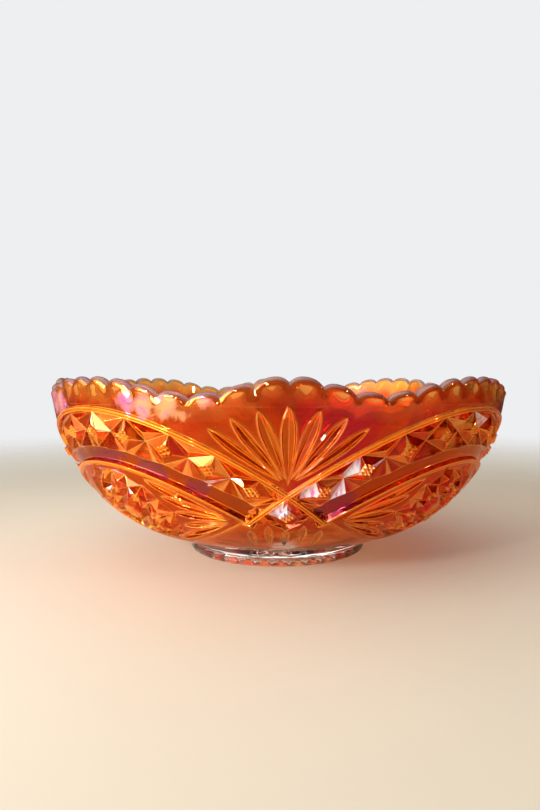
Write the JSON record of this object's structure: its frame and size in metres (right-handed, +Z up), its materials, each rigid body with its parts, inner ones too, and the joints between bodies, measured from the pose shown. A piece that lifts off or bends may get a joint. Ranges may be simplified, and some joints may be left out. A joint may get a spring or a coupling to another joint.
{
  "type": "carnival glass bowl",
  "caption": "Deep round pressed-glass bowl with an iridised amber wall, a waved and scalloped rim, arched cut-style panels and a low clear foot.",
  "frame": {"origin": "centre of the foot's resting ring, on the surface the bowl stands on", "axes": "+Z up along the bowl's axis, -Y towards the front, where the rim wave crests over one of the four fans"},
  "size_m": [0.2322, 0.2322, 0.0903],
  "materials": {
    "iridised_glass": "pressed glass with a glossy marigold film that shifts to gold, pink and violet",
    "rim_glass": "fire-polished glass with a thin film that wears to lilac grey at the lip",
    "clear_glass": "clear glossy pressed glass without film"
  },
  "bodies": {
    "root": {"bowl_body": "iridised_glass", "scalloped_rim": "rim_glass", "star_foot": "clear_glass"}
  },
  "joints": []
}
